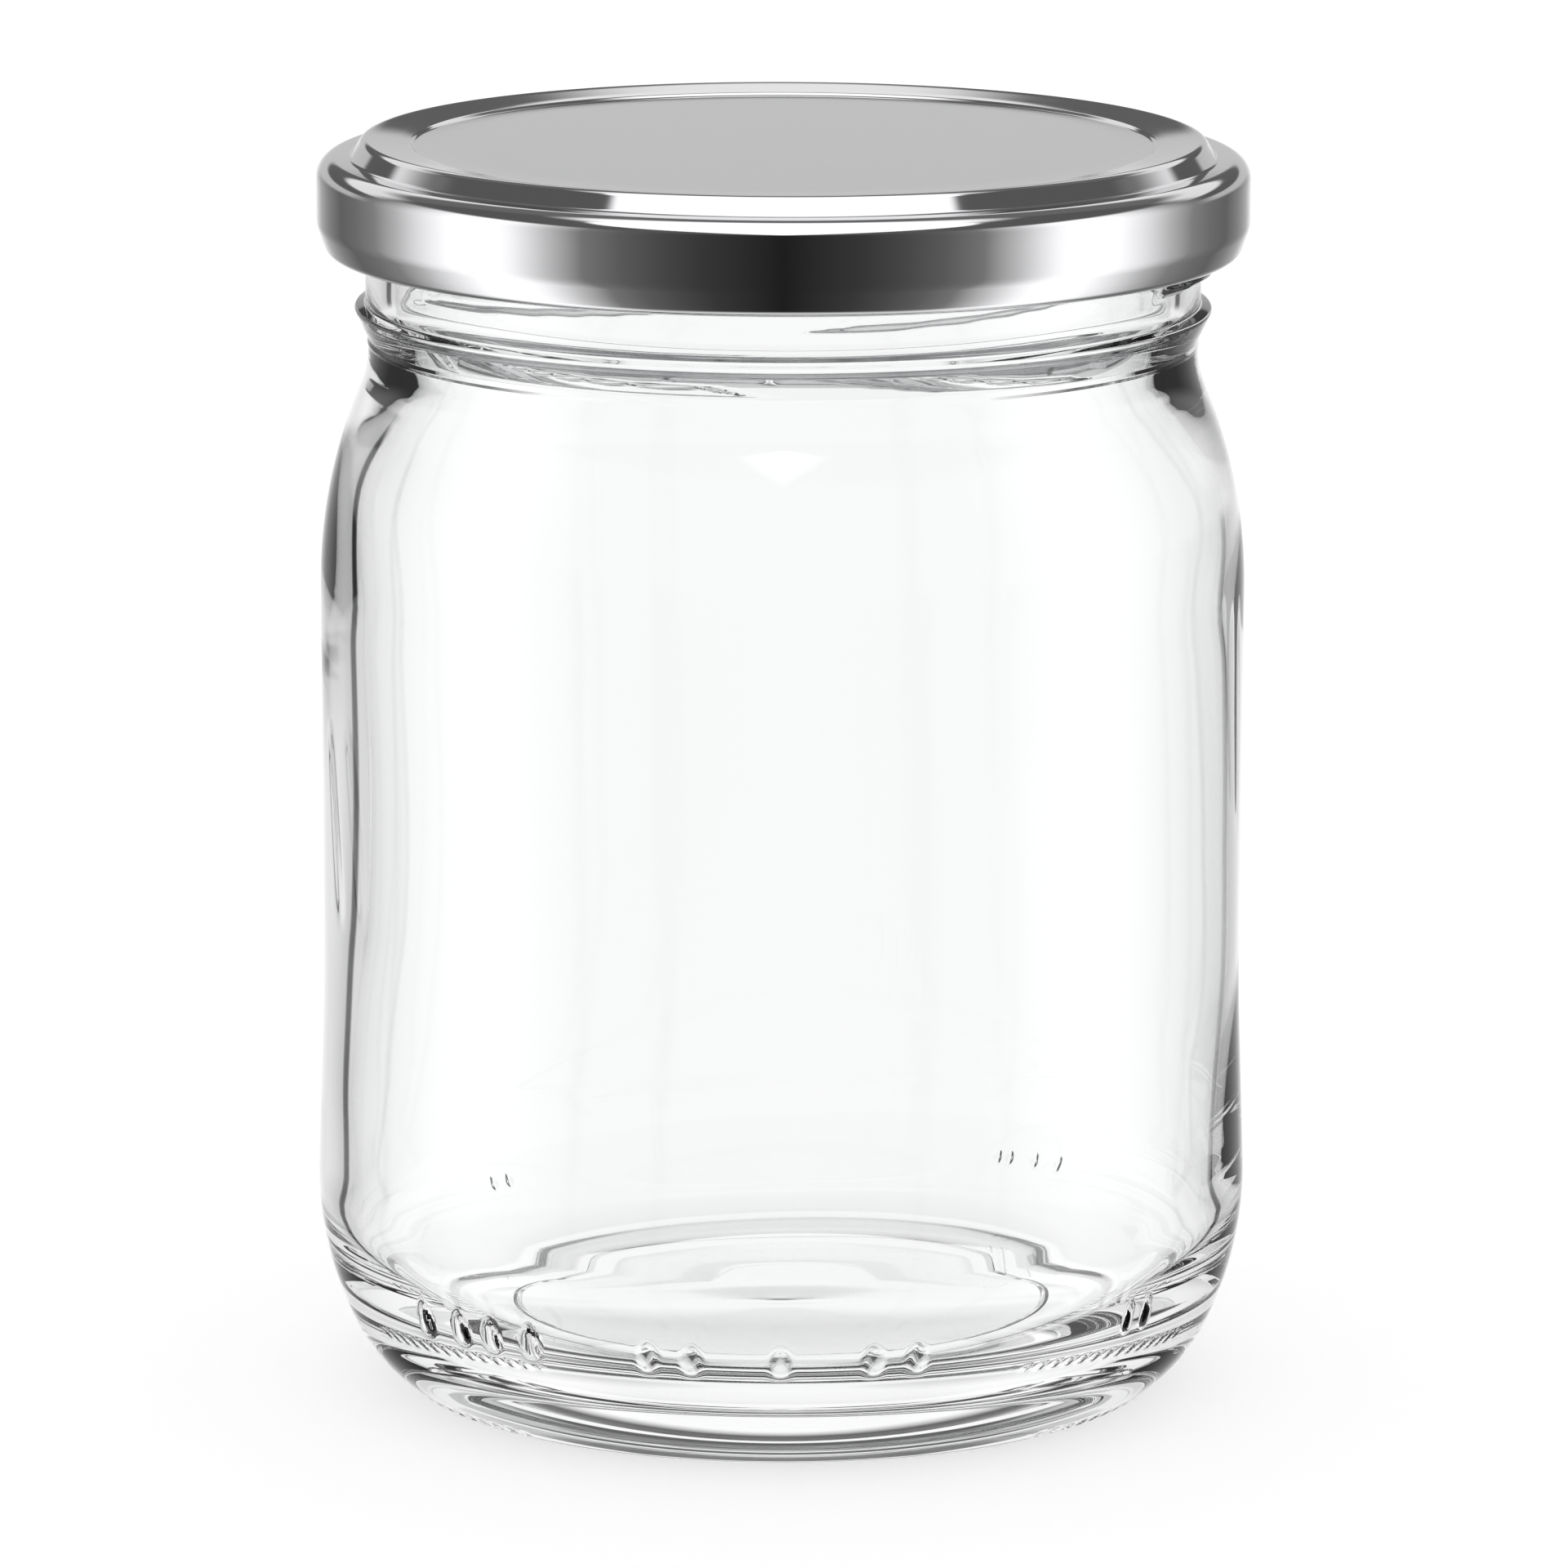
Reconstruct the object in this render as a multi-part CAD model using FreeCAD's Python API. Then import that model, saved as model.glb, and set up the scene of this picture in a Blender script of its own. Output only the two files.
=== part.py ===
import FreeCAD, Part
import math
import os

# A glass canning jar of the half-litre class, closed with a pressed tinplate twist-off lid.
# Millimetres. +Z is up, the jar stands on Z = 0 and its axis is the Z axis.
# Outlines are half sections: a radius, a height and the radius that rounds that corner.

# ---------------------------------------------------------------- glass: overall sizes
JAR_HEIGHT = 113.6          # sealing rim above the ground
BODY_R = 42.25              # outside of the label panel
WALL = 2.5                  # side wall
BORE_WALL = 2.8             # wall of the mouth

# ---------------------------------------------------------------- glass: base
BEARING_IN = 7.95           # bearing ring's outer edge, in from the label panel
BEARING_WIDTH = 2.9         # flat ring that the jar stands on
BEARING_EDGE_ROUND = 0.8
PUSH_UP = 0.65              # hollow under the base, at the centre
PUSH_UP_SIDE = 0.48         # the same hollow at the top of its flank
PUSH_UP_IN = 6.25           # flank's foot, in from the bearing ring's inner edge
PUSH_UP_FLANK = 4.85        # width of the flank
PUSH_UP_ROUND = 4.0
FLANK_FOOT_ROUND = 0.6
RING_RELIEF = 0.12          # base beside the bearing ring stays clear of the ground by this
RELIEF_STEP = 0.2           # width of the step down to the bearing ring
RELIEF_ROUND = 0.1
FLOOR = 5.55                # glass over the push-up
FLOOR_DROP = 0.65           # inner floor falls by this towards the heel
INNER_HEEL_ROUND = 12.6

# ---------------------------------------------------------------- glass: heel and body
HEEL_LOW_IN = 3.95          # lower corner of the heel, in from the label panel
HEEL_LOW_Z = 3.0
HEEL_TOP_OUT = 0.85         # upper corner of the heel, out from the label panel
HEEL_TOP_Z = 12.85
HEEL_LOW_ROUND = 12.5
HEEL_TOP_ROUND = 33.0
PANEL_Z = 37.3              # foot of the label panel
PANEL_ROUND = 200.0
SHOULDER_OUT = 0.17         # shoulder stands out from the label panel
SHOULDER_ROUND = 46.0
NECK_ROUND = 11.0

# ---------------------------------------------------------------- glass: neck and finish
FINISH_R = 38.1             # wall under the lid
FINISH_FOOT = 10.95         # drops below the rim: foot of that wall, on the transfer bead
BEAD_OUT = 1.7              # transfer bead stands out from the finish wall
BEAD_DROP = 13.0
BEAD_FOOT = 15.0
NECK_IN = 0.25              # neck under the bead, in from the finish wall
NECK_DROP = 19.1            # foot of the neck, where the shoulder begins
SHOULDER_DROP = 29.9        # top of the body
SHOULDER_START_DROP = 58.0
BEAD_TOP_ROUND = 0.5
BEAD_ROUND = 1.0
BEAD_FOOT_ROUND = 1.0
RIM_ROUND = 0.8
OUTLINE_STEP = 0.2          # spacing of the points that place the heel dots on the outline

# ---------------------------------------------------------------- glass: thread ribs
RIBS = 6
RIB_DEPTH = 1.5             # out from the finish wall
RIB_ROOT = 1.6              # rib's height at the wall
RIB_CREST = 0.9             # rib's height at its crest
RIB_SINK = 0.4              # root buried in the wall
RIB_SPAN = 78.0             # degrees
RIB_TIP_DROP = 10.1         # underside of the low tip, below the rim
RIB_RISE = 3.05             # rise of the underside over one sixth of a turn
RIB_TIP_AT = -89.5          # bearing of one low tip, degrees
RIB_TAPER = 12.0            # degrees over which each end runs out
RIB_END_SHARE = 0.25        # size of a rib's end face, as a share of its full section
RIB_STATIONS = 14

# ---------------------------------------------------------------- glass: small mould marks
KNURLS = 118                # bars round the outer edge of the bearing ring
KNURL_GAP = 0.9
KNURL_DEPTH = 0.3
KNURL_LAND = 1.7            # width of the bearing ring that stays whole
DOT_R = 1.0
DOT_SINK = 0.45
DOT_Z = 11.4
DOT_BEARINGS = (-140.0, -133.5, -128.5, -122.5, -106.5, -101.0, -90.0, -78.5, -73.0)

# ---------------------------------------------------------------- lid
SHEET = 0.22                # tinplate
LID_CLEARANCE = 0.4         # curl to the crest of the thread ribs
CURL_WIDTH = 2.5
CURL_HEIGHT = 2.6
SKIRT_DROP = 8.35           # bottom of the curl below the rim
SKIRT_ROUND = 1.7
CURL_ROUND = 1.0
CURL_TUCK = 0.9             # skirt draws in by this at the foot of the curl
LEDGE_WIDTH = 3.1           # ledge from the foot of the crest's wall out to the skirt
CREST_RISE = 1.75           # crest above the ledge
CREST_IN = 1.1              # crest's edge, in from the foot of its leaning wall
CREST_FOOT_ROUND = 0.4
CREST_ROUND = 0.8
PANEL_DROP = 0.78           # centre panel below the crest
PANEL_STEP = 0.25           # small step round the centre panel
BEVEL_WIDTH = 4.6           # sloping ring between the crest and the centre panel
SEAT_IN = 0.35              # seat's inner edge, in from the mouth's bore
CREASE_ROUND = 0.3

# ---------------------------------------------------------------- lid: lugs
LUG_HEIGHT = 1.1
LUG_REACH = 1.5             # in from the curl
LUG_WIDTH = 10.0
LUG_CLEARANCE = 0.15        # lug to the rib above it
LUG_LIFT = 0.2              # lug's underside above the foot of the curl


# ---------------------------------------------------------------- outlines
FIT_SHARE = 0.999           # most of a side that the roundings at its two ends may take up
NO_ROUNDING = 1e-6          # a tangent shorter than this makes a sharp corner


def vec(r, z):
    return FreeCAD.Vector(r, 0, z)


def rounded_outline(corners):
    """Edges through (radius, height, rounding) corners, each rounding shortened to fit its sides."""
    points = [vec(r, z) for r, z, _ in corners]
    count = len(points)
    reach = [0.0] * count
    half_turn = [0.0] * count
    for i in range(1, count - 1):
        before = points[i] - points[i - 1]
        after = points[i + 1] - points[i]
        half_turn[i] = before.getAngle(after) / 2
        reach[i] = corners[i][2] * math.tan(half_turn[i])
    share = [1.0] * count
    for i in range(count - 1):
        wanted = reach[i] + reach[i + 1]
        side = (points[i + 1] - points[i]).Length
        if wanted > FIT_SHARE * side:
            for end in (i, i + 1):
                share[end] = min(share[end], FIT_SHARE * side / wanted)

    edges = []
    last = points[0]
    for i in range(1, count - 1):
        tangent = reach[i] * share[i]
        if tangent < NO_ROUNDING:
            edges.append(Part.makeLine(last, points[i]))
            last = points[i]
            continue
        back = (points[i - 1] - points[i]).normalize()
        ahead = (points[i + 1] - points[i]).normalize()
        start = points[i] + back * tangent
        end = points[i] + ahead * tangent
        radius = tangent / math.tan(half_turn[i])
        inward = (back + ahead).normalize()
        middle = points[i] + inward * (radius / math.cos(half_turn[i]) - radius)
        edges.append(Part.makeLine(last, start))
        edges.append(Part.Arc(start, middle, end).toShape())
        last = end
    edges.append(Part.makeLine(last, points[-1]))
    return edges


def lathe(corners):
    """Solid of revolution about Z whose outline starts and ends on the axis."""
    edges = rounded_outline(corners)
    edges.append(Part.makeLine(vec(*corners[-1][:2]), vec(*corners[0][:2])))
    face = Part.Face(Part.Wire(edges))
    return face.revolve(FreeCAD.Vector(0, 0, 0), FreeCAD.Vector(0, 0, 1), 360)


def around(shape, degrees):
    turned = shape.copy()
    turned.rotate(FreeCAD.Vector(0, 0, 0), FreeCAD.Vector(0, 0, 1), degrees)
    return turned


def outer_corners():
    """Outside of the glass, from the centre of the push-up to the sealing rim."""
    bearing_r = BODY_R - BEARING_IN
    inner_edge = bearing_r - BEARING_WIDTH
    flank_foot = inner_edge - PUSH_UP_IN
    neck_r = FINISH_R - NECK_IN
    return [
        (0, PUSH_UP, 0),
        (flank_foot - PUSH_UP_FLANK, PUSH_UP_SIDE, PUSH_UP_ROUND),
        (flank_foot, RING_RELIEF, FLANK_FOOT_ROUND),
        (inner_edge - RELIEF_STEP, RING_RELIEF, RELIEF_ROUND),
        (inner_edge, 0, RELIEF_ROUND),
        (bearing_r, 0, BEARING_EDGE_ROUND),
        (BODY_R - HEEL_LOW_IN, HEEL_LOW_Z, HEEL_LOW_ROUND),
        (BODY_R + HEEL_TOP_OUT, HEEL_TOP_Z, HEEL_TOP_ROUND),
        (BODY_R, PANEL_Z, PANEL_ROUND),
        (BODY_R, JAR_HEIGHT - SHOULDER_START_DROP, PANEL_ROUND),
        (BODY_R + SHOULDER_OUT, JAR_HEIGHT - SHOULDER_DROP, SHOULDER_ROUND),
        (neck_r, JAR_HEIGHT - NECK_DROP, NECK_ROUND),
        (neck_r, JAR_HEIGHT - BEAD_FOOT, BEAD_FOOT_ROUND),
        (FINISH_R + BEAD_OUT, JAR_HEIGHT - BEAD_DROP, BEAD_ROUND),
        (FINISH_R, JAR_HEIGHT - FINISH_FOOT, BEAD_TOP_ROUND),
        (FINISH_R, JAR_HEIGHT, RIM_ROUND),
    ]


def inner_corners():
    """Inside of the glass, from the sealing rim to the centre of the floor."""
    bore_r = FINISH_R - BORE_WALL
    floor_edge_z = PUSH_UP + FLOOR - FLOOR_DROP
    return [
        (bore_r, JAR_HEIGHT, RIM_ROUND),
        (bore_r, JAR_HEIGHT - NECK_DROP, NECK_ROUND + WALL),
        (BODY_R + SHOULDER_OUT - WALL, JAR_HEIGHT - SHOULDER_DROP, SHOULDER_ROUND - WALL),
        (BODY_R - WALL, JAR_HEIGHT - SHOULDER_START_DROP, PANEL_ROUND),
        (BODY_R - WALL, floor_edge_z, INNER_HEEL_ROUND),
        (0, PUSH_UP + FLOOR, 0),
    ]


def rib_section(angle):
    """Closed wire across a thread rib, angle degrees up from its low tip."""
    run_out = min(1.0, angle / RIB_TAPER, (RIB_SPAN - angle) / RIB_TAPER)
    size = RIB_END_SHARE + (1 - RIB_END_SHARE) * max(0.0, run_out)
    depth = RIB_DEPTH * size
    root = RIB_ROOT * size
    crest = RIB_CREST * size
    base = rib_underside(angle)
    middle = base + root / 2
    inside = FINISH_R - RIB_SINK
    outside = FINISH_R + depth
    wire = Part.makePolygon([
        vec(inside, base),
        vec(outside, middle - crest / 2),
        vec(outside, middle + crest / 2),
        vec(inside, base + root),
        vec(inside, base),
    ])
    return around(wire, RIB_TIP_AT + angle)


def rib_underside(angle):
    return JAR_HEIGHT - RIB_TIP_DROP + RIB_RISE * (angle * RIBS / 360) ** 2


def thread_ribs():
    stations = [RIB_SPAN * i / (RIB_STATIONS - 1) for i in range(RIB_STATIONS)]
    rib = Part.makeLoft([rib_section(angle) for angle in stations], True, False)
    return [around(rib, 360 / RIBS * i) for i in range(RIBS)]


def knurl_gaps():
    """Short radial notches that leave the bars round the bearing ring's edge."""
    first = BODY_R - BEARING_IN - BEARING_WIDTH + KNURL_LAND
    gap = Part.makeBox(BEARING_WIDTH, KNURL_GAP, 2 * KNURL_DEPTH)
    gap.translate(FreeCAD.Vector(first, -KNURL_GAP / 2, -KNURL_DEPTH))
    return [around(gap, 360 / KNURLS * i) for i in range(KNURLS)]


def heel_dots(outline):
    """Small raised mould dots in a row on the heel."""
    level = min(outline, key=lambda point: abs(point.z - DOT_Z))
    dot = Part.makeSphere(DOT_R, vec(level.x - DOT_SINK, level.z))
    return [around(dot, bearing) for bearing in DOT_BEARINGS]


def make_jar():
    outer = outer_corners()
    glass = lathe(outer + inner_corners())
    outline = Part.Wire(rounded_outline(outer)).discretize(Distance=OUTLINE_STEP)
    glass = glass.cut(Part.makeCompound(knurl_gaps()))
    return glass.fuse(thread_ribs() + heel_dots(outline)).removeSplitter()


def lug_bearing():
    """Bearing of one lug, from where the rib's underside just clears the lug's top."""
    lug_top = JAR_HEIGHT - SKIRT_DROP + LUG_LIFT + LUG_HEIGHT
    climb = lug_top + LUG_CLEARANCE - (JAR_HEIGHT - RIB_TIP_DROP)
    clear_from = 360 / RIBS * math.sqrt(climb / RIB_RISE)
    return RIB_TIP_AT + clear_from + lug_half_angle()


def lug_half_angle():
    return math.degrees(LUG_WIDTH / 2 / FINISH_R)


def lugs(curl_inner):
    bottom = JAR_HEIGHT - SKIRT_DROP + LUG_LIFT
    top = bottom + LUG_HEIGHT
    start = curl_inner - LUG_REACH
    end = curl_inner + CURL_WIDTH / 2
    face = Part.Face(Part.makePolygon([
        vec(start, bottom),
        vec(end, bottom),
        vec(end, top),
        vec(start, top),
        vec(start, bottom),
    ]))
    half = lug_half_angle()
    lug = face.revolve(FreeCAD.Vector(0, 0, 0), FreeCAD.Vector(0, 0, 1), 2 * half)
    return [around(lug, lug_bearing() - half + 360 / RIBS * i) for i in range(RIBS)]


def make_lid():
    curl_inner = FINISH_R + RIB_DEPTH + LID_CLEARANCE
    skirt_r = curl_inner + CURL_WIDTH
    seat_z = JAR_HEIGHT
    ledge_z = seat_z + SHEET
    crest_z = ledge_z + CREST_RISE
    panel_z = crest_z - PANEL_DROP
    wall_r = skirt_r - LEDGE_WIDTH
    crest_r = wall_r - CREST_IN
    panel_r = crest_r - BEVEL_WIDTH
    bottom = seat_z - SKIRT_DROP
    curl_top = bottom + CURL_HEIGHT
    seat_r = FINISH_R - BORE_WALL - SEAT_IN
    lid = lathe([
        (0, panel_z, 0),
        (panel_r, panel_z, CREASE_ROUND),
        (panel_r + PANEL_STEP, panel_z + PANEL_STEP, CREASE_ROUND),
        (crest_r, crest_z, CREST_ROUND),
        (wall_r, ledge_z, CREST_FOOT_ROUND),
        (skirt_r, ledge_z, SKIRT_ROUND),
        (skirt_r, bottom + CURL_HEIGHT, CURL_WIDTH),
        (skirt_r - CURL_TUCK, bottom, CURL_ROUND),
        (curl_inner, bottom, CURL_ROUND),
        (curl_inner, curl_top, CURL_ROUND),
        (skirt_r - SHEET, curl_top, CREASE_ROUND),
        (skirt_r - SHEET, seat_z, SKIRT_ROUND - SHEET),
        (seat_r, seat_z, CREASE_ROUND),
        (seat_r, panel_z - SHEET, CREASE_ROUND),
        (0, panel_z - SHEET, 0),
    ])
    return lid.fuse(lugs(curl_inner)).removeSplitter()


def main():
    os.makedirs("parts", exist_ok=True)
    pieces = {"jar": make_jar(), "lid": make_lid()}
    for name, shape in pieces.items():
        solids = shape.Solids
        print(name, "solids", len(solids), "valid", shape.isValid(),
              "volume", round(shape.Volume, 1), "box", shape.BoundBox)
        solids[0].exportStep("parts/" + name + ".step")


main()
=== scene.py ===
import math

import bpy
import numpy as np
from mathutils import Matrix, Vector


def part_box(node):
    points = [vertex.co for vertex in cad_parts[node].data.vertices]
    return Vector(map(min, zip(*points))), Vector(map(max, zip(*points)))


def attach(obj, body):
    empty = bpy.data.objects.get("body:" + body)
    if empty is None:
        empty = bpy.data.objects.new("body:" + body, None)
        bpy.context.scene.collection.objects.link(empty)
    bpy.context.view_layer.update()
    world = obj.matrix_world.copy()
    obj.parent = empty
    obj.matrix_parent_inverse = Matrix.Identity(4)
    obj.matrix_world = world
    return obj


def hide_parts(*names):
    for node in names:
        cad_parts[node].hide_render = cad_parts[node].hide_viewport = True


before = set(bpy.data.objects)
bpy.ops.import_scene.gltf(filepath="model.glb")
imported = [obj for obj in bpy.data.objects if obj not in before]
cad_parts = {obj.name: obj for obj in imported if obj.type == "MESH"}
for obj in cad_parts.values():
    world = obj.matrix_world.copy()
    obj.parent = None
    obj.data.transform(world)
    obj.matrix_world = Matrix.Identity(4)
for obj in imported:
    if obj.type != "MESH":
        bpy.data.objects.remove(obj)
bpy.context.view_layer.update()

# Sizes are millimetres, turned into metres by MM when a mesh is made. Angles are degrees.
# A bearing is counted from +X towards +Y, so the front of the jar is at -90.
MM = 0.001
FRONT = -90.0

# ---------------------------------------------------------------- sizes from the frame
JAR_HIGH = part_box("jar")[1] / MM
LID_LOW, LID_HIGH = (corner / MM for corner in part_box("lid"))
RIM_Z = JAR_HIGH.z
HEEL_R = JAR_HIGH.x
SKIRT_R = LID_HIGH.x
LID_FOOT_Z = LID_LOW.z
LID_TOP_Z = LID_HIGH.z

# ---------------------------------------------------------------- glass
BODY_R = HEEL_R - 0.59
BODY_FOOT_Z = 37.3
BODY_TOP_Z = RIM_Z - 58.0
BODY_ROUND = 200.0
# Wall thickness on the left and right at (height, thickness); blown glass is never even.
LEFT_WALL = [(96, 2.9), (86, 2.75), (72, 3.3), (45, 3.6), (26, 2.4), (8, 2.2)]
RIGHT_WALL = [(96, 2.7), (82, 1.6), (70, 1.9), (52, 1.5), (34, 1.3), (8, 2.0)]
WALL = 2.4
BORE_WALL = 2.8
FINISH_R = 38.1
RIM_MIDDLE_R = FINISH_R - 0.5 * BORE_WALL
BORE_R = FINISH_R - BORE_WALL
NECK_R = FINISH_R - 0.25
BEARING_R = BODY_R - 7.8
BEARING_ROUND = 2.35
HEEL_FOOT_R = BODY_R - 4.0
HEEL_FOOT_Z = 2.93
HEEL_FOOT_ROUND = 14.8
HEEL_CORNER_R = BODY_R + 0.85
HEEL_CORNER_Z = 12.85
HEEL_ROUND = 33.0
PUSH_UP_Z = 0.65
PLATE_R = 25.1
PLATE_SQUARENESS = 2.5
PLATE_EDGE_R = BEARING_R - 3.0
PLATE_LINE_WIDTH = 0.8
PLATE_LINE_DEPTH = 0.5
FLOOR_Z = 6.26
FLOOR_SIDE_Z = 5.7
INNER_HEEL_ROUND = 11.8
SHOULDER_R = BODY_R + 0.17
SHOULDER_Z = RIM_Z - 29.9
SHOULDER_ROUND = 46.0
INNER_SHOULDER_ROUND = 43.0
NECK_Z = RIM_Z - 19.1
NECK_ROUND = 11.0
INNER_NECK_ROUND = 13.0
RIM_ROUND = 0.8
SEAM_Z = 97.0
SEAM_WIDTH = 0.7
SEAM_HEIGHT = 0.12
BEAD_OUT = 1.1
BEAD_TOP_Z = RIM_Z - 13.0
BEAD_Z = RIM_Z - 13.4
BEAD_FOOT_Z = RIM_Z - 16.2
BORE_STEP = 1.0
BORE_STEP_TOP_Z = RIM_Z - 12.1
BORE_STEP_FOOT_Z = RIM_Z - 13.7
HOLLOW_END_Z = 84.0
HOLLOW_FADE = 10.0
HOLLOW_TURN = 88.0
HOLLOW_TURN_FADE = 50.0

RIBS = 6
RIB_DEPTH = 1.5
RIB_ROOT = 1.6
RIB_SPAN = 78.0
RIB_TIP_Z = RIM_Z - 10.1
RIB_RISE = 3.05
RIB_TIP_BEARING = FRONT + 0.5
RIB_TAPER = 12.0

KNURLS = 118
KNURL_DEPTH = 0.2
KNURL_FROM = 38.0
KNURL_TO = 84.0
KNURL_FROM_R = BEARING_R - 0.9
KNURL_TO_R = BEARING_R + 0.9
KNURL_EDGE = 0.35
KNURL_FADE = 8.0

# Vertices round a ring: whole numbers of them for each notch.
COARSE_RING = 2 * KNURLS
RING = 4 * KNURLS
FINE_RING = 8 * KNURLS

MARK_Z = 11.4

# Step aimed at along the outer outline, below each height and above the last of them.
OUTER_SPACING = [
    (9.6, 0.75),
    (13.4, 0.42),
    (17.0, 1.0),
    (72.0, 2.6),
    (93.0, 1.2),
    (RIB_TIP_Z - 0.6, 0.4),
    (RIB_TIP_Z + 3.2, 0.32),
]
FINISH_SPACING = 0.9
UNDERSIDE_SPACING = 3.0
UNDERSIDE_SPACING_R = BEARING_R - 3.4

# Upright ridges inside: (bearing at the top, bearing at the foot, top, foot, height).
STREAKS = [
    (FRONT - 81.6, FRONT - 76.4, 61.5, 45.0, 0.15),
    (FRONT + 80.0, FRONT + 82.0, 74.0, 53.0, 0.08),
]
STREAK_WIDTH = 0.9

# ---------------------------------------------------------------- lid
SHEET = 0.22
CURL_WIDTH = 2.5
CURL_HEIGHT = 2.6
LEDGE_Z = RIM_Z + SHEET
CREST_WALL_R = SKIRT_R - 3.1
CREST_R = CREST_WALL_R - 1.1
PANEL_R = CREST_R - 4.6
PANEL_Z = LID_TOP_Z - 0.728
# The crest's corner lies above the top that its rounding leaves.
CREST_Z = LID_TOP_Z + 0.052
SEAT_GAP = 0.35
LUG_REACH = 1.5
LUG_WIDTH = 10.0
LUG_HEIGHT = 1.3
LUG_GAP = 0.15

# ---------------------------------------------------------------- camera, placed in metres
LENS = 228.84
CAMERA_DISTANCE = 0.900
CAMERA_HEIGHT = 0.239
CAMERA_PITCH = 11.53
CAMERA_ROLL = 0.15
CAMERA_YAW = -0.012


# ================================================================ outlines
def rounded(corners, spacing, arc_step=9.0):
    """Points along (radius, height, rounding) corners. Arcs turn arc_step or less at each point, and
    spacing(height, radius) gives the length aimed at between two points."""
    points = [np.array(corner[:2], float) for corner in corners]
    count = len(points)
    half = [0.0] * count
    reach = [0.0] * count
    for i in range(1, count - 1):
        a = points[i] - points[i - 1]
        b = points[i + 1] - points[i]
        cosine = a @ b / np.linalg.norm(a) / np.linalg.norm(b)
        half[i] = math.acos(max(-1.0, min(1.0, cosine))) / 2
        reach[i] = corners[i][2] * math.tan(half[i])
    share = [1.0] * count
    for i in range(count - 1):
        wanted = reach[i] + reach[i + 1]
        side = np.linalg.norm(points[i + 1] - points[i])
        if wanted > side:
            share[i] = min(share[i], side / wanted)
            share[i + 1] = min(share[i + 1], side / wanted)
    out = [points[0]]

    def straight(end):
        start = out[-1]
        length = np.linalg.norm(end - start)
        if length < 1e-6:
            return
        steps = max(1, math.ceil(length / spacing((start[1] + end[1]) / 2, (start[0] + end[0]) / 2)))
        if steps > 1:
            done = 0.0
            while True:
                here = start + (end - start) * done / length
                done += spacing(here[1], here[0])
                if done > length - 0.4 * spacing(here[1], here[0]):
                    break
                out.append(start + (end - start) * done / length)
        out.append(end)

    for i in range(1, count - 1):
        tangent = reach[i] * share[i]
        if tangent < 1e-6:
            straight(points[i])
            continue
        back = (points[i - 1] - points[i]) / np.linalg.norm(points[i - 1] - points[i])
        ahead = (points[i + 1] - points[i]) / np.linalg.norm(points[i + 1] - points[i])
        radius = tangent / math.tan(half[i])
        centre_way = (back + ahead) / np.linalg.norm(back + ahead)
        centre = points[i] + centre_way * radius / math.cos(half[i])
        straight(points[i] + back * tangent)
        first = out[-1] - centre
        turn = 2 * half[i]
        sense = math.copysign(1.0, back[0] * ahead[1] - back[1] * ahead[0]) * -1
        steps = max(
            math.ceil(math.degrees(turn) / arc_step),
            math.ceil(turn * radius / spacing(points[i][1], points[i][0])),
        )
        for k in range(1, steps + 1):
            angle = sense * turn * k / steps
            c, s = math.cos(angle), math.sin(angle)
            out.append(centre + np.array([c * first[0] - s * first[1], s * first[0] + c * first[1]]))
    straight(points[-1])
    return np.array(out)


def outline_normals(points):
    """Unit normals of an outline, on its right-hand side."""
    ways = np.gradient(points, axis=0)
    ways /= np.linalg.norm(ways, axis=1)[:, None]
    return np.stack([ways[:, 1], -ways[:, 0]], axis=1)


# ================================================================ meshes
def lathe(name, outline, segments, shape):
    """Closed mesh of revolution, from axis to axis. segments gives each ring's count of vertices,
    which is the same as, twice or half the last. shape(ring, bearings) gives its radii and heights."""
    rings = []
    vertices = []
    for i in range(len(outline)):
        if outline[i][0] < 1e-6:
            rings.append([len(vertices)])
            vertices.append((0.0, 0.0, outline[i][1] * MM))
            continue
        bearings = np.arange(segments[i]) * 360.0 / segments[i]
        r, z = shape(i, bearings)
        first = len(vertices)
        rings.append(list(range(first, first + segments[i])))
        turn = np.radians(bearings)
        vertices.extend(zip(r * np.cos(turn) * MM, r * np.sin(turn) * MM, z * MM))
    faces = []
    for low, high in zip(rings[:-1], rings[1:]):
        faces.extend(band(low, high))
    mesh = bpy.data.meshes.new(name)
    mesh.from_pydata([tuple(map(float, v)) for v in vertices], [], faces)
    mesh.shade_smooth()
    piece = bpy.data.objects.new(name, mesh)
    bpy.context.scene.collection.objects.link(piece)
    return piece


def band(low, high):
    """Faces between two rings of vertex numbers."""
    m, n = len(low), len(high)
    if m == 1:
        return [(low[0], high[(j + 1) % n], high[j]) for j in range(n)]
    if n == 1:
        return [(low[j], low[(j + 1) % m], high[0]) for j in range(m)]
    if m == n:
        return [(low[j], low[(j + 1) % m], high[(j + 1) % n], high[j]) for j in range(m)]
    faces = []
    if n == 2 * m:
        for j in range(m):
            a, b = low[j], low[(j + 1) % m]
            c, d, e = high[2 * j], high[2 * j + 1], high[(2 * j + 2) % n]
            faces += [(a, d, c), (a, b, d), (b, e, d)]
        return faces
    for j in range(n):
        a, b, c = low[2 * j], low[2 * j + 1], low[(2 * j + 2) % m]
        d, e = high[j], high[(j + 1) % n]
        faces += [(a, b, d), (b, e, d), (b, c, e)]
    return faces


def step(x):
    x = np.clip(x, 0.0, 1.0)
    return x * x * (3 - 2 * x)


def apart(bearings, bearing):
    """Signed turn from bearing to each of bearings, -180 to 180."""
    return (bearings - bearing + 180.0) % 360.0 - 180.0


# ================================================================ glass jar
def outer_spacing(z, r):
    """Step aimed at along the outer outline: fine at the knurling, the marks and the thread."""
    if r < UNDERSIDE_SPACING_R:
        return UNDERSIDE_SPACING
    for below, spacing in OUTER_SPACING:
        if z < below:
            return spacing
    return FINISH_SPACING


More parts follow.
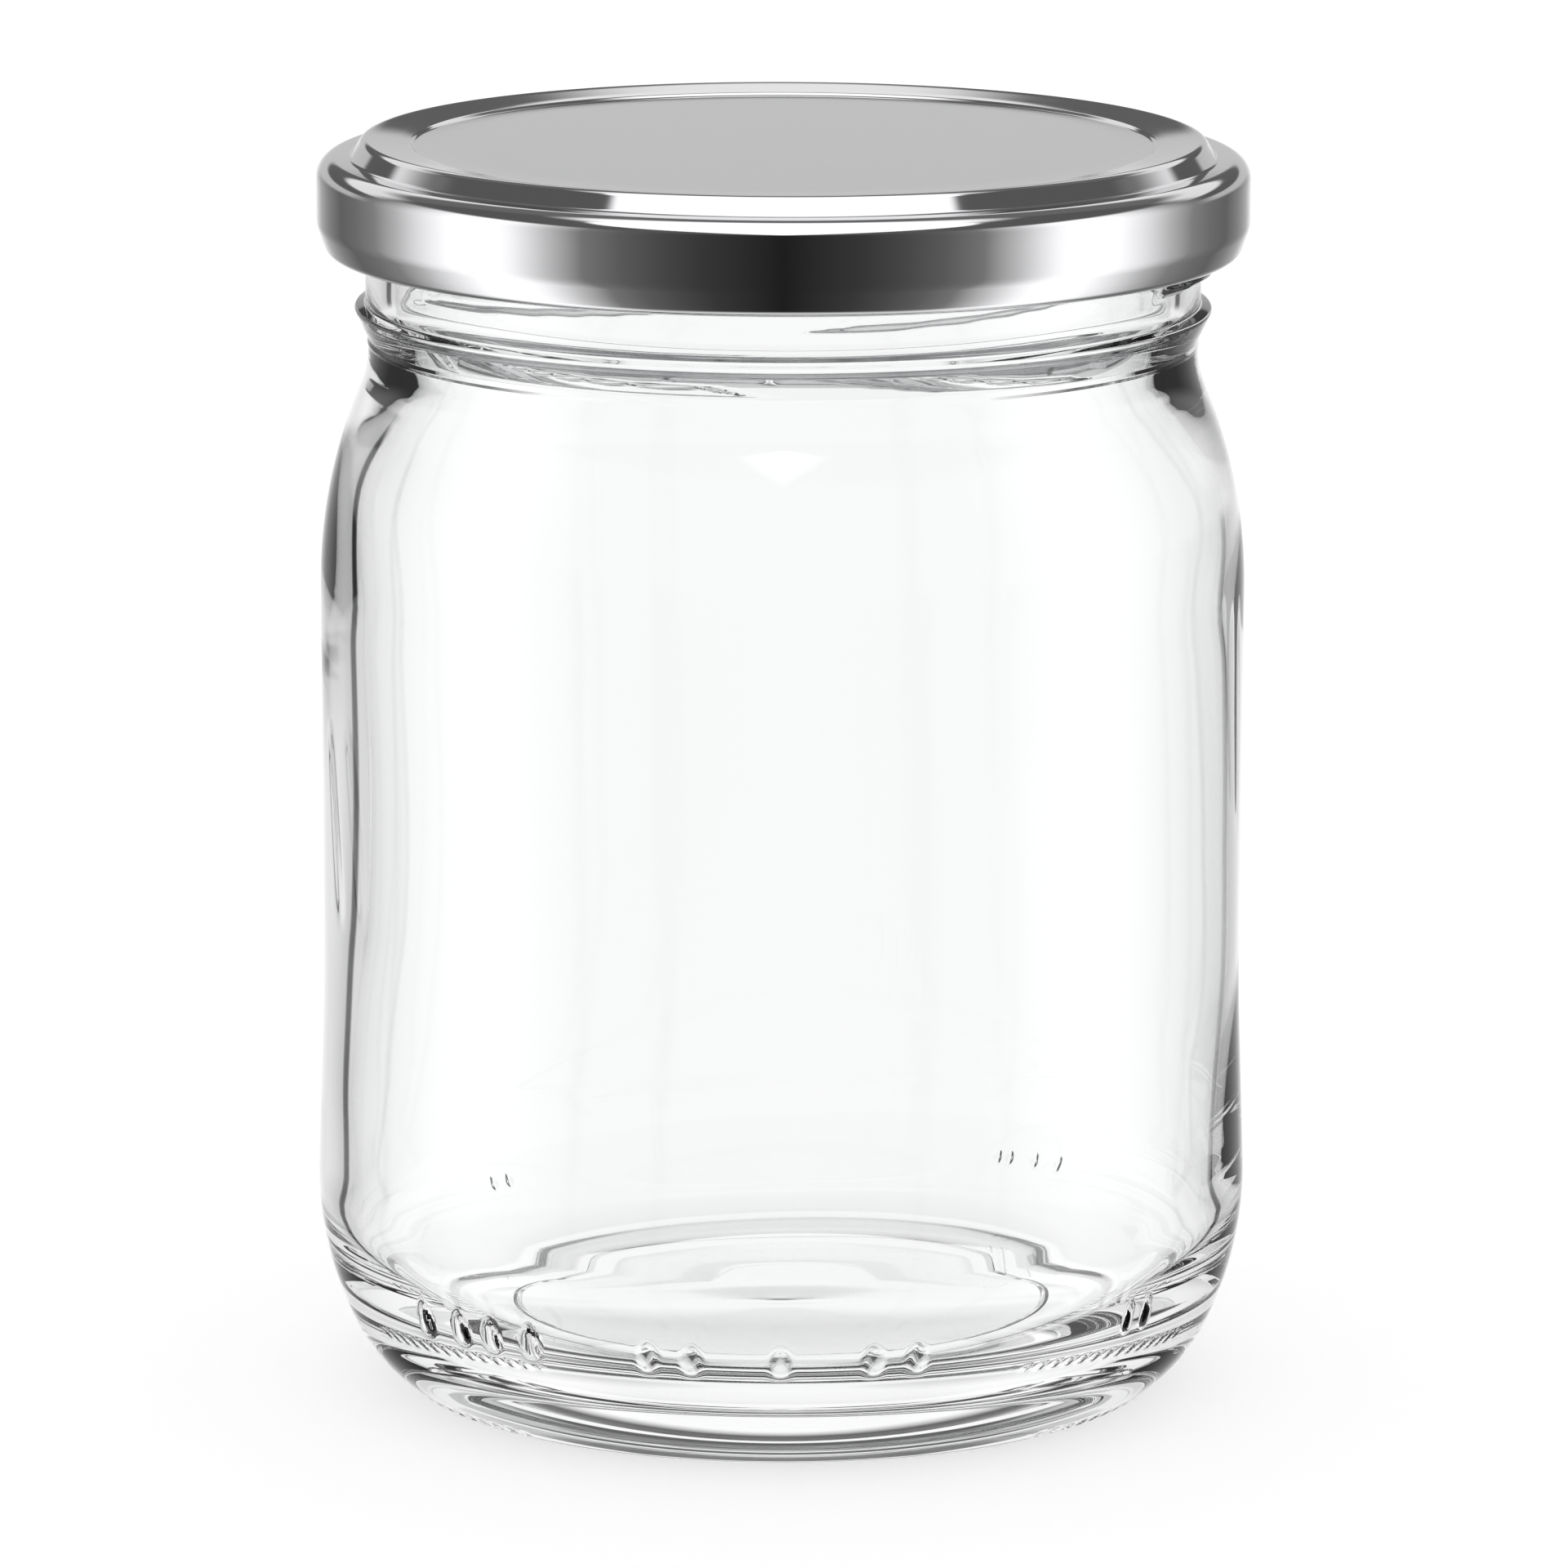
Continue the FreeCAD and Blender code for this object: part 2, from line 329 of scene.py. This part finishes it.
def outer_outline():
    plate_line = [
        (PLATE_R - PLATE_LINE_WIDTH / 2, 0.02, 0.1),
        (PLATE_R, PLATE_LINE_DEPTH, 0.1),
        (PLATE_R + PLATE_LINE_WIDTH / 2, 0, 0.1),
    ]
    seam = [
        (NECK_R, SEAM_Z - SEAM_WIDTH / 2, 0.1),
        (NECK_R + SEAM_HEIGHT, SEAM_Z, 0.15),
        (NECK_R, SEAM_Z + SEAM_WIDTH / 2, 0.1),
    ]
    return rounded([
        (0, PUSH_UP_Z, 0),
        *plate_line,
        (BEARING_R, 0, BEARING_ROUND),
        (HEEL_FOOT_R, HEEL_FOOT_Z, HEEL_FOOT_ROUND),
        (HEEL_CORNER_R, HEEL_CORNER_Z, HEEL_ROUND),
        (BODY_R, BODY_FOOT_Z, BODY_ROUND),
        (BODY_R, BODY_TOP_Z, BODY_ROUND),
        (SHOULDER_R, SHOULDER_Z, SHOULDER_ROUND),
        (NECK_R, NECK_Z, NECK_ROUND),
        *seam,
        (NECK_R, BEAD_FOOT_Z, 1.0),
        (FINISH_R + BEAD_OUT, BEAD_Z, 0.3),
        (FINISH_R, BEAD_TOP_Z, 0.3),
        (FINISH_R, RIM_Z, RIM_ROUND),
        (RIM_MIDDLE_R, RIM_Z, 0),
    ], outer_spacing)


def inner_outline():
    return rounded([
        (RIM_MIDDLE_R, RIM_Z, 0),
        (BORE_R, RIM_Z, RIM_ROUND),
        (BORE_R, NECK_Z, INNER_NECK_ROUND),
        (SHOULDER_R - WALL, SHOULDER_Z, INNER_SHOULDER_ROUND),
        (BODY_R - WALL, BODY_TOP_Z, BODY_ROUND),
        (BODY_R - WALL, FLOOR_SIDE_Z, INNER_HEEL_ROUND),
        (0, FLOOR_Z, 0),
    ], lambda z, r: 0.4 if BORE_STEP_FOOT_Z - 0.5 < z < BORE_STEP_TOP_Z + 0.5 else 1.3)


def rib_height(bearings, z):
    """How far the thread ribs stand out of the finish wall at height z."""
    out = np.zeros_like(bearings)
    for k in range(RIBS):
        along = (bearings - RIB_TIP_BEARING - 360.0 / RIBS * k) % 360.0
        underside = RIB_TIP_Z + RIB_RISE * (along * RIBS / 360.0) ** 2
        run_out = step(along / RIB_TAPER) * step((RIB_SPAN - along) / RIB_TAPER)
        size = np.where(along < RIB_SPAN, 0.15 + 0.85 * run_out, 0.0)
        u = (z - underside) / (RIB_ROOT * np.maximum(size, 1e-3))
        across = step(u / 0.3) * step((1 - u) / 0.3)
        out = np.maximum(out, RIB_DEPTH * size * across)
    return out


def plate_shape(bearings, r):
    """Radii of a ring on the underside: the groove at the mould's bottom plate is a rounded square."""
    turn = np.radians(bearings)
    square = np.abs(np.cos(turn)) ** PLATE_SQUARENESS + np.abs(np.sin(turn)) ** PLATE_SQUARENESS
    line_r = PLATE_R * square ** (-1 / PLATE_SQUARENESS)
    if r < PLATE_R:
        return r * line_r / PLATE_R
    return line_r + (r - PLATE_R) / (PLATE_EDGE_R - PLATE_R) * (PLATE_EDGE_R - line_r)


def knurl_depth(bearings, r):
    """Depth of the notches round the bearing ring's edge, on its left and right sides."""
    window = step((r - KNURL_FROM_R) / KNURL_EDGE) * step((KNURL_TO_R - r) / KNURL_EDGE)
    phase = (bearings * KNURLS / 360.0) % 1.0
    notch = np.where(phase < 0.5, 1.0, 0.0)
    turn = np.abs(apart(bearings, FRONT))
    sides = step((turn - KNURL_FROM) / KNURL_FADE) * step((KNURL_TO - turn) / KNURL_FADE)
    return KNURL_DEPTH * window * notch * sides


def marks():
    """Raised mould marks: (bearing, height, half width, half height, how proud, how soft its edge)."""
    dots = [(FRONT + turn, MARK_Z, 1.1, 1.7, 0.3, 1.2)
            for turn in (-16.5, -11.0, 0.0, 11.5, 17.0)]
    bars = [(FRONT + turn, MARK_Z, 1.0, 1.6, 0.6, 0.6) for turn in (-50.0, -43.5, -38.5, -32.5)]
    strokes = [(FRONT + turn, MARK_Z + 0.6, 0.45, 1.5, 0.5, 0.6) for turn in (48.5, 52.0)]
    behind = [(FRONT + 180.0 + turn, MARK_Z - 2.0, 0.4, 1.0, 0.4, 0.6)
              for turn in (46.0, 43.0, -31.5, -33.5, -38.0, -42.5)]
    return dots + bars + strokes + behind


def mark_height(bearings, r, z):
    out = np.zeros_like(bearings)
    for bearing, at_z, half_width, half_height, proud, softness in marks():
        up = (z - at_z) / half_height
        narrowing = 1 + 0.35 * max(up, -1.0)
        across = np.radians(apart(bearings, bearing)) * r / half_width * narrowing
        reach = np.clip(1 - across ** 2 - up ** 2, 0, 1)
        out = np.maximum(out, proud * reach ** softness)
    return out


def smooth_through(knots, z):
    """Value at z of one smooth curve through (height, value) knots, level beyond both ends."""
    heights = [knot[0] for knot in knots]
    values = [knot[1] for knot in knots]
    slopes = [0.0] * len(knots)
    for i in range(1, len(knots) - 1):
        slopes[i] = (values[i + 1] - values[i - 1]) / (heights[i + 1] - heights[i - 1])
    z = max(heights[-1], min(heights[0], z))
    for i in range(len(knots) - 1):
        if z >= heights[i + 1]:
            break
    run = heights[i + 1] - heights[i]
    t = (z - heights[i]) / run
    ease = t * t * (3 - 2 * t)
    leave = t * (1 - t) ** 2
    arrive = t * t * (1 - t)
    level = values[i] + (values[i + 1] - values[i]) * ease
    return level + run * (slopes[i] * leave - slopes[i + 1] * arrive)


def streaks(bearings, z):
    """Height of the faint upright ridges on the inside of the wall."""
    out = np.zeros_like(bearings)
    for top_bearing, foot_bearing, top, foot, proud in STREAKS:
        share = (top - z) / (top - foot)
        if 0 < share < 1:
            middle = top_bearing + (foot_bearing - top_bearing) * share
            across = np.radians(apart(bearings, middle)) * BODY_R / STREAK_WIDTH
            out += proud * math.sin(math.pi * share) ** 0.5 * np.exp(-across ** 2)
    return out


def wall_shift(bearings, z):
    """Shift of the inner wall, outwards: the wall is thicker on the left than on the right."""
    left = smooth_through(LEFT_WALL, z)
    right = smooth_through(RIGHT_WALL, z)
    side = np.cos(np.radians(bearings))
    body = step(np.array((z - 8.0) / 10.0)) * step(np.array((SEAM_Z - z) / 4.0))
    uneven = body * (WALL - (left + right) / 2 + (left - right) / 2 * side)
    return uneven + neck_hollow(bearings, z) - streaks(bearings, z)


def neck_hollow(bearings, z):
    """The wall is thinner behind the bead, at the front only."""
    top = min(1.0, max(0.0, (BORE_STEP_TOP_Z - z) / (BORE_STEP_TOP_Z - BORE_STEP_FOOT_Z)))
    foot = step(np.array((z - HOLLOW_END_Z) / HOLLOW_FADE))
    to_front = np.abs(apart(bearings, FRONT))
    return BORE_STEP * top * foot * step((HOLLOW_TURN - to_front) / HOLLOW_TURN_FADE)


def make_jar():
    outer = outer_outline()
    inner = inner_outline()
    outline = np.concatenate([outer, inner[1:]])
    normals = outline_normals(outline)
    split = len(outer)
    segments = []
    for i, (r, z) in enumerate(outline):
        if i >= split:
            segments.append(RING if r > 30.0 else COARSE_RING)
        elif z < 2.7 and r < 25.0:
            segments.append(COARSE_RING)
        elif z < 2.7 and r < 30.5:
            segments.append(RING)
        elif z < 14.0:
            segments.append(FINE_RING)
        else:
            segments.append(RING)

    def shape(i, bearings):
        r, z = outline[i]
        if i >= split:
            shifted = wall_shift(bearings, z) if r > 30 else 0.0
            return r + shifted + 0 * bearings, z + 0 * bearings
        out = np.zeros_like(bearings)
        if z < 2.0 and r < PLATE_EDGE_R:
            return plate_shape(bearings, r), z + out
        if z > RIB_TIP_Z - 0.3:
            out += rib_height(bearings, z)
        if z < 3.0 and r > 30.0:
            out -= knurl_depth(bearings, r)
        if 7.0 < z < 14.5 and r > 30.0:
            out += mark_height(bearings, r, z)
        return r + out * normals[i][0], z + out * normals[i][1]

    return lathe("jar_glass", outline, segments, shape)


# ================================================================ lid
def lid_outline():
    curl_inner = SKIRT_R - CURL_WIDTH
    curl_top = LID_FOOT_Z + CURL_HEIGHT
    seat_r = BORE_R - SEAT_GAP
    return rounded([
        (0, PANEL_Z, 0),
        (PANEL_R, PANEL_Z, 0.3),
        (PANEL_R + 0.25, PANEL_Z + 0.25, 0.3),
        (CREST_R, CREST_Z, 0.8),
        (CREST_WALL_R, LEDGE_Z, 0.4),
        (SKIRT_R, LEDGE_Z, 1.7),
        (SKIRT_R, curl_top, 2.5),
        (SKIRT_R - 0.9, LID_FOOT_Z, 1.0),
        (curl_inner, LID_FOOT_Z, 1.0),
        (curl_inner, curl_top, 1.0),
        (SKIRT_R - SHEET, curl_top, 0.3),
        (SKIRT_R - SHEET, RIM_Z, 1.4),
        (seat_r, RIM_Z, 0.3),
        (seat_r, PANEL_Z - SHEET, 0.3),
        (0, PANEL_Z - SHEET, 0),
    ], lambda z, r: 3.0 if r < 33 else 1.0)


def make_lid():
    outline = lid_outline()
    segments = [360] * len(outline)
    curl_inner = SKIRT_R - CURL_WIDTH
    lug_top = LID_FOOT_Z + LUG_HEIGHT
    lug_turn = math.degrees(LUG_WIDTH / FINISH_R)
    clear_from = 360 / RIBS * math.sqrt((lug_top + LUG_GAP - RIB_TIP_Z) / RIB_RISE)
    lug_bearing = RIB_TIP_BEARING + clear_from + lug_turn / 2

    def shape(i, bearings):
        r, z = outline[i]
        inward = np.zeros_like(bearings)
        if r < curl_inner + 0.5 and z < lug_top and r > FINISH_R:
            for k in range(RIBS):
                turn = np.abs(apart(bearings, lug_bearing + 360.0 / RIBS * k))
                inward += step((lug_turn / 2 + 0.8 - turn) / 1.6)
            inward *= LUG_REACH * step((lug_top - z) / 0.3)
        return r - inward, z + 0 * bearings

    return lathe("lid_shell", outline, segments, shape)


# ================================================================ materials
def new_material(name):
    material = bpy.data.materials.new(name)
    material.use_nodes = True
    nodes = material.node_tree.nodes
    return material, nodes, material.node_tree.links, nodes["Principled BSDF"]


def glass_material():
    material, nodes, links, shader = new_material("clear_glass")
    shader.inputs["Roughness"].default_value = 0.0
    shader.inputs["IOR"].default_value = 1.5
    shader.inputs["Transmission Weight"].default_value = 1.0
    place = nodes.new("ShaderNodeTexCoord")
    cloud = nodes.new("ShaderNodeTexNoise")
    cloud.inputs["Scale"].default_value = 40.0
    tint = nodes.new("ShaderNodeValToRGB")
    tint.color_ramp.elements[0].color = (0.988, 0.998, 0.994, 1)
    tint.color_ramp.elements[1].color = (0.998, 1.0, 0.999, 1)
    links.new(place.outputs["Object"], cloud.inputs["Vector"])
    links.new(cloud.outputs["Fac"], tint.inputs["Fac"])
    links.new(tint.outputs["Color"], shader.inputs["Base Color"])
    return material


def tinplate_material():
    material, nodes, links, shader = new_material("silver_tinplate")
    shader.inputs["Base Color"].default_value = (0.62, 0.62, 0.63, 1)
    shader.inputs["Metallic"].default_value = 1.0
    place = nodes.new("ShaderNodeTexCoord")
    grain = nodes.new("ShaderNodeTexNoise")
    grain.inputs["Scale"].default_value = 700.0
    grain.inputs["Detail"].default_value = 4.0
    rough = nodes.new("ShaderNodeMapRange")
    rough.inputs["To Min"].default_value = 0.05
    rough.inputs["To Max"].default_value = 0.08
    links.new(place.outputs["Object"], grain.inputs["Vector"])
    links.new(grain.outputs["Fac"], rough.inputs["Value"])
    links.new(rough.outputs["Result"], shader.inputs["Roughness"])
    return material


# ================================================================ set, light and camera
def floor_and_world():
    bpy.ops.mesh.primitive_circle_add(vertices=96, radius=6.0, fill_type="NGON")
    floor = bpy.context.object
    floor.name = "floor"
    floor.visible_transmission = False
    floor.visible_glossy = False
    material, *_, shader = new_material("white_table")
    shader.inputs["Base Color"].default_value = (0.9, 0.9, 0.9, 1)
    shader.inputs["Roughness"].default_value = 0.9
    shader.inputs["Emission Color"].default_value = (1, 1, 1, 1)
    shader.inputs["Emission Strength"].default_value = 0.56
    floor.data.materials.append(material)

    studio_world()


class Nodes:
    """Short names for the few node kinds the world is built from."""

    def __init__(self, tree):
        self.tree = tree

    def put(self, value, socket):
        if isinstance(value, (int, float)):
            socket.default_value = value if socket.type == "VALUE" else (value, value, value, 1)
        else:
            self.tree.links.new(value, socket)

    def math(self, operation, a, b=0.0):
        node = self.tree.nodes.new("ShaderNodeMath")
        node.operation = operation
        self.put(a, node.inputs[0])
        self.put(b, node.inputs[1])
        return node.outputs[0]

    def ramp(self, source, stops):
        """Value along source by (place, value) stops."""
        low, high = stops[0][0], stops[-1][0]
        spread = self.tree.nodes.new("ShaderNodeMapRange")
        spread.inputs["From Min"].default_value = low
        spread.inputs["From Max"].default_value = high
        self.put(source, spread.inputs["Value"])
        curve = self.tree.nodes.new("ShaderNodeValToRGB")
        points = curve.color_ramp.elements
        while len(points) < len(stops):
            points.new(1.0)
        for point, (place, level) in zip(points, stops):
            point.position = (place - low) / (high - low)
            point.color = (level, level, level, 1)
        self.put(spread.outputs["Result"], curve.inputs["Fac"])
        return curve.outputs["Color"]

    def soft_step(self, value, low, high):
        node = self.tree.nodes.new("ShaderNodeMapRange")
        node.interpolation_type = "SMOOTHSTEP"
        node.inputs["From Min"].default_value = low
        node.inputs["From Max"].default_value = high
        self.put(value, node.inputs["Value"])
        return node.outputs["Result"]

    def mix(self, factor, a, b):
        node = self.tree.nodes.new("ShaderNodeMix")
        node.data_type = "RGBA"
        self.put(factor, node.inputs["Factor"])
        self.put(a, node.inputs[6])
        self.put(b, node.inputs[7])
        return node.outputs[2]


# Brightness, the _WALLS by degrees round from the back and the _BACK by degrees of elevation.
REFLECTED_WALLS = [
    (0, 1.0), (10, 0.9), (20, 0.5), (30, 0.3), (40, 0.17), (50, 0.22), (60, 0.32),
    (70, 0.68), (80, 1.2), (90, 1.65), (100, 1.9), (110, 1.5), (120, 0.82),
    (130, 0.27), (140, 0.16), (150, 0.1), (160, 0.06), (180, 0.02),
]
REFLECTED_BACK = [
    (0, 0.66), (9, 0.66), (10.5, 0.14), (18.5, 0.14), (20.5, 1.1),
    (30, 1.1), (36, 0.2), (60, 0.2), (68, 1.7), (90, 1.7),
]
OVERHEAD = 1.7
DARK_ROOM = 0.14
CLEAR_WALLS = [
    (0, 1.0), (14, 1.0), (24, 0.8), (31, 0.6), (32, 0.0), (35, 0.0), (36, 0.75),
    (55, 0.75), (57, 0.35), (61, 0.75), (90, 1.0), (119, 0.9), (123, 0.5),
    (125, 0.9), (143, 0.9), (146, 0.5), (149, 0.9), (180, 1.0),
]
CLEAR_BACK = [(0, 1.0), (17, 1.0), (22, 0.03), (60, 0.03), (75, 1.0), (90, 1.0)]
CLEAR_ASIDE = 0.6
ROOM_LEVEL = 0.55

# Where the overhead box begins, as a share of the way round from back to front, by elevation.
OVERHEAD_REACH = [(0, 1.0), (28, 1.0), (40, 0.84), (50, 0.65), (62, 0.5), (90, 0.5)]


def studio_world():
    world = bpy.data.worlds.new("studio")
    bpy.context.scene.world = world
    world.use_nodes = True
    tree = world.node_tree
    tree.nodes.clear()
    kit = Nodes(tree)
    place = tree.nodes.new("ShaderNodeTexCoord")
    split = tree.nodes.new("ShaderNodeSeparateXYZ")
    tree.links.new(place.outputs["Generated"], split.inputs["Vector"])
    x, y, z = split.outputs
    around = kit.math("MULTIPLY", kit.math("ABSOLUTE", kit.math("ARCTAN2", x, y)), math.degrees(1.0))
    rise = kit.math("MULTIPLY", kit.math("ARCSINE", z), math.degrees(1.0))

    path = tree.nodes.new("ShaderNodeLightPath")
    reflected = reflected_studio(kit, around, rise)
    through = studio_through_glass(kit, around, rise)
    shown = kit.mix(path.outputs["Is Glossy Ray"], ROOM_LEVEL, reflected)
    shown = kit.mix(path.outputs["Is Transmission Ray"], shown, through)
    shown = kit.mix(path.outputs["Is Camera Ray"], shown, 1.0)
    background = tree.nodes.new("ShaderNodeBackground")
    tree.links.new(shown, background.inputs["Color"])
    output = tree.nodes.new("ShaderNodeOutputWorld")
    tree.links.new(background.outputs["Background"], output.inputs["Surface"])


def reflected_studio(kit, around, rise):
    """What metal and the glass's own shine reflect: tall soft boxes at both sides, one overhead that
    reaches down in front, a grey backdrop with a bright strip above it, and a dark room."""
    walls = kit.ramp(around, REFLECTED_WALLS)
    low = kit.mix(kit.soft_step(rise, -50.0, -75.0), walls, 1.0)
    behind = kit.ramp(rise, REFLECTED_BACK)
    beside = kit.mix(kit.soft_step(rise, 33.0, 25.0), DARK_ROOM, walls)
    beside = kit.mix(kit.soft_step(rise, 58.0, 68.0), beside, OVERHEAD)
    high = kit.mix(kit.soft_step(around, 60.0, 45.0), beside, behind)
    reach = kit.ramp(rise, OVERHEAD_REACH)
    in_front = kit.math("SUBTRACT", around, kit.math("MULTIPLY", reach, 180.0))
    high = kit.mix(kit.soft_step(in_front, 2.0, 8.0), high, OVERHEAD)
    return kit.mix(kit.soft_step(rise, -3.0, 3.0), low, high)


def studio_through_glass(kit, around, rise):
    """What shines through the glass: white, with a dark flag at each side of the back, fainter ones
    farther round, and a dark band high above the backdrop."""
    low = kit.ramp(around, CLEAR_WALLS)
    high = kit.ramp(rise, CLEAR_BACK)
    aside = kit.math("MULTIPLY", kit.soft_step(around, 25.0, 50.0), CLEAR_ASIDE)
    high = kit.mix(aside, high, 1.0)
    return kit.mix(kit.soft_step(rise, -3.0, 3.0), low, high)


def camera():
    data = bpy.data.cameras.new("camera")
    data.lens = LENS
    data.sensor_width = 36.0
    data.clip_end = 20.0
    eye = bpy.data.objects.new("camera", data)
    bpy.context.scene.collection.objects.link(eye)
    turned = Matrix.Rotation(math.radians(CAMERA_YAW), 4, "Z")
    tilted = Matrix.Rotation(math.radians(90 - CAMERA_PITCH), 4, "X")
    rolled = Matrix.Rotation(math.radians(CAMERA_ROLL), 4, "Z")
    place = Matrix.Translation((0, -CAMERA_DISTANCE, CAMERA_HEIGHT))
    eye.matrix_world = place @ turned @ tilted @ rolled
    bpy.context.scene.camera = eye


def main():
    jar = make_jar()
    jar.data.materials.append(glass_material())
    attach(jar, "root")
    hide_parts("jar")

    lid = make_lid()
    lid.data.materials.append(tinplate_material())
    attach(lid, "root")
    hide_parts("lid")

    floor_and_world()
    camera()
    bpy.context.scene.view_settings.view_transform = "Standard"
    bpy.context.scene.cycles.max_bounces = 24
    bpy.context.scene.cycles.glossy_bounces = 16
    bpy.context.scene.cycles.transmission_bounces = 24
    for piece in (jar, lid):
        print(piece.name, "triangles", sum(len(p.vertices) - 2 for p in piece.data.polygons))


main()
